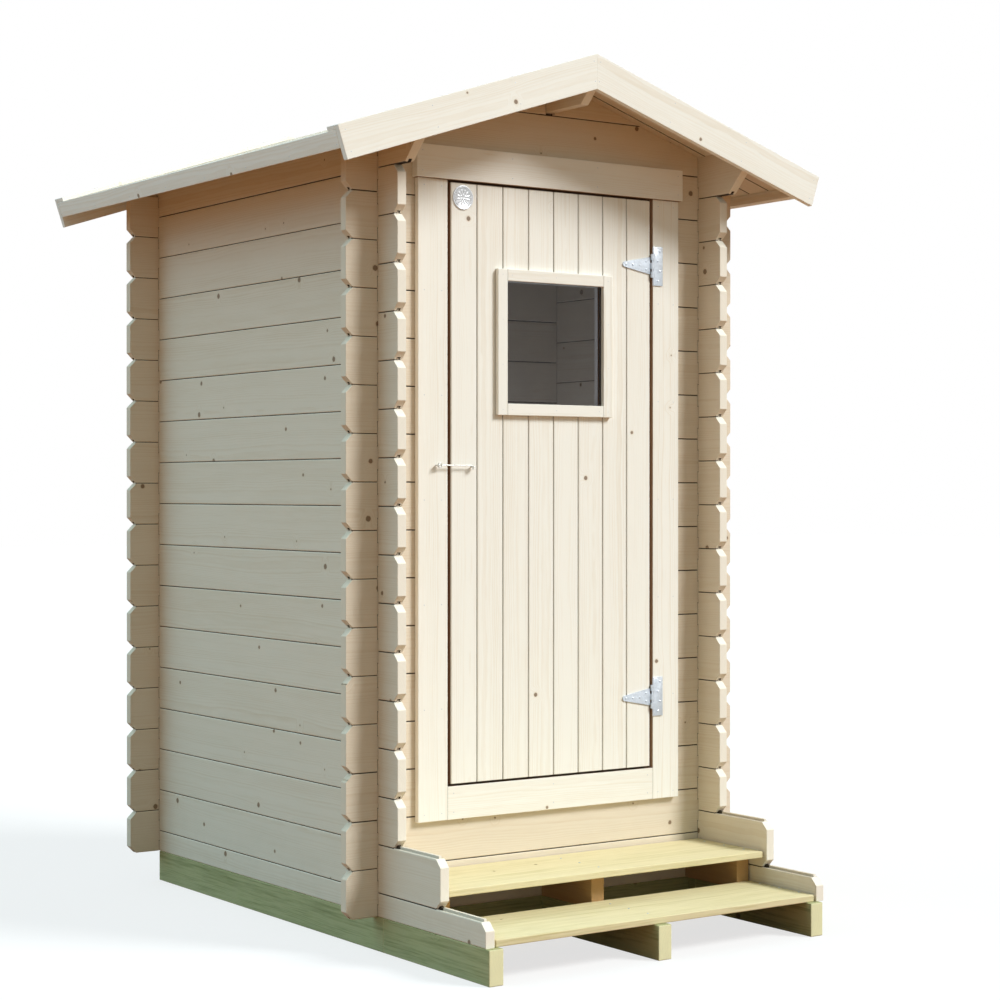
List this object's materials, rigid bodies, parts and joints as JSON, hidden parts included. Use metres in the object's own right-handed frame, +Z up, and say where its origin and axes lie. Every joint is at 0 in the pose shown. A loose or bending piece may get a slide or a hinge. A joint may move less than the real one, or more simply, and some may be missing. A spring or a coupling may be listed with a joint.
{
  "type": "wooden outhouse",
  "caption": "Small log-built outhouse with interlocking corners, gable roof, hinged door with a square window, and open wooden steps.",
  "frame": {"origin": "underside of the centre bearer, in the middle of the cabin's plan, at ground level", "axes": "+Z up, +X to the right seen from the front, -Y out of the door side"},
  "size_m": [1.696, 2.127, 2.499],
  "materials": {
    "log": "planed spruce, unfinished",
    "roof_board": "planed spruce boards, unfinished",
    "planed_board": "planed spruce, unfinished",
    "floor_timber": "sawn spruce",
    "treated_beam": "pressure-treated, green",
    "treated_tread": "pressure-treated, pale green-yellow",
    "tinted_glass": "clear, dark tint",
    "galvanised": "galvanised",
    "badge_metal": "pressed, satin"
  },
  "bodies": {
    "cabin": {"left_wall": "log", "right_wall": "log", "wall_plates": "log", "front_wall_foot": "log", "front_sill_log": "log", "front_lintel_log": "log", "front_wall_left": "log", "front_wall_right": "log", "front_gable": "log", "rear_wall": "log", "rear_gable": "log", "partition_wall": "log", "ridge_purlin": "log", "roof_left": "roof_board", "roof_right": "roof_board", "bargeboards": "planed_board", "edge_laths": "planed_board", "eave_fascias": "planed_board", "door_casings": "planed_board", "door_header": "planed_board", "inner_casings": "planed_board", "door_frame": "planed_board", "door_stops": "planed_board", "floor": "floor_timber", "floor_joists": "floor_timber", "floor_ledgers": "floor_timber", "side_beams": "treated_beam", "cross_beams": "treated_beam", "centre_beam": "treated_beam", "step_joists": "treated_beam", "tread_blocks": "treated_beam", "lower_tread": "treated_tread", "upper_tread": "treated_tread", "hinge_plates": "galvanised", "hinge_pins": "galvanised", "casing_eye": "galvanised"},
    "door": {"door_boards": "planed_board", "door_ledges": "planed_board", "window_trim_outer": "planed_board", "window_trim_inner": "planed_board", "window_glass": "tinted_glass", "badge": "badge_metal", "hinge_straps": "galvanised", "door_eye": "galvanised"},
    "latch": {"latch_hook": "galvanised"}
  },
  "joints": [
    {"name": "door_hinge", "type": "hinge", "parent": "cabin", "child": "door", "pos_m": [0.362, -0.714, 1.2955], "axis": [0, 0, 1], "range_deg": [0, 150]},
    {"name": "latch_pivot", "type": "hinge", "parent": "cabin", "child": "latch", "pos_m": [-0.402, -0.721, 1.339], "axis": [0, -1, 0], "range_deg": [0, 100]}
  ]
}
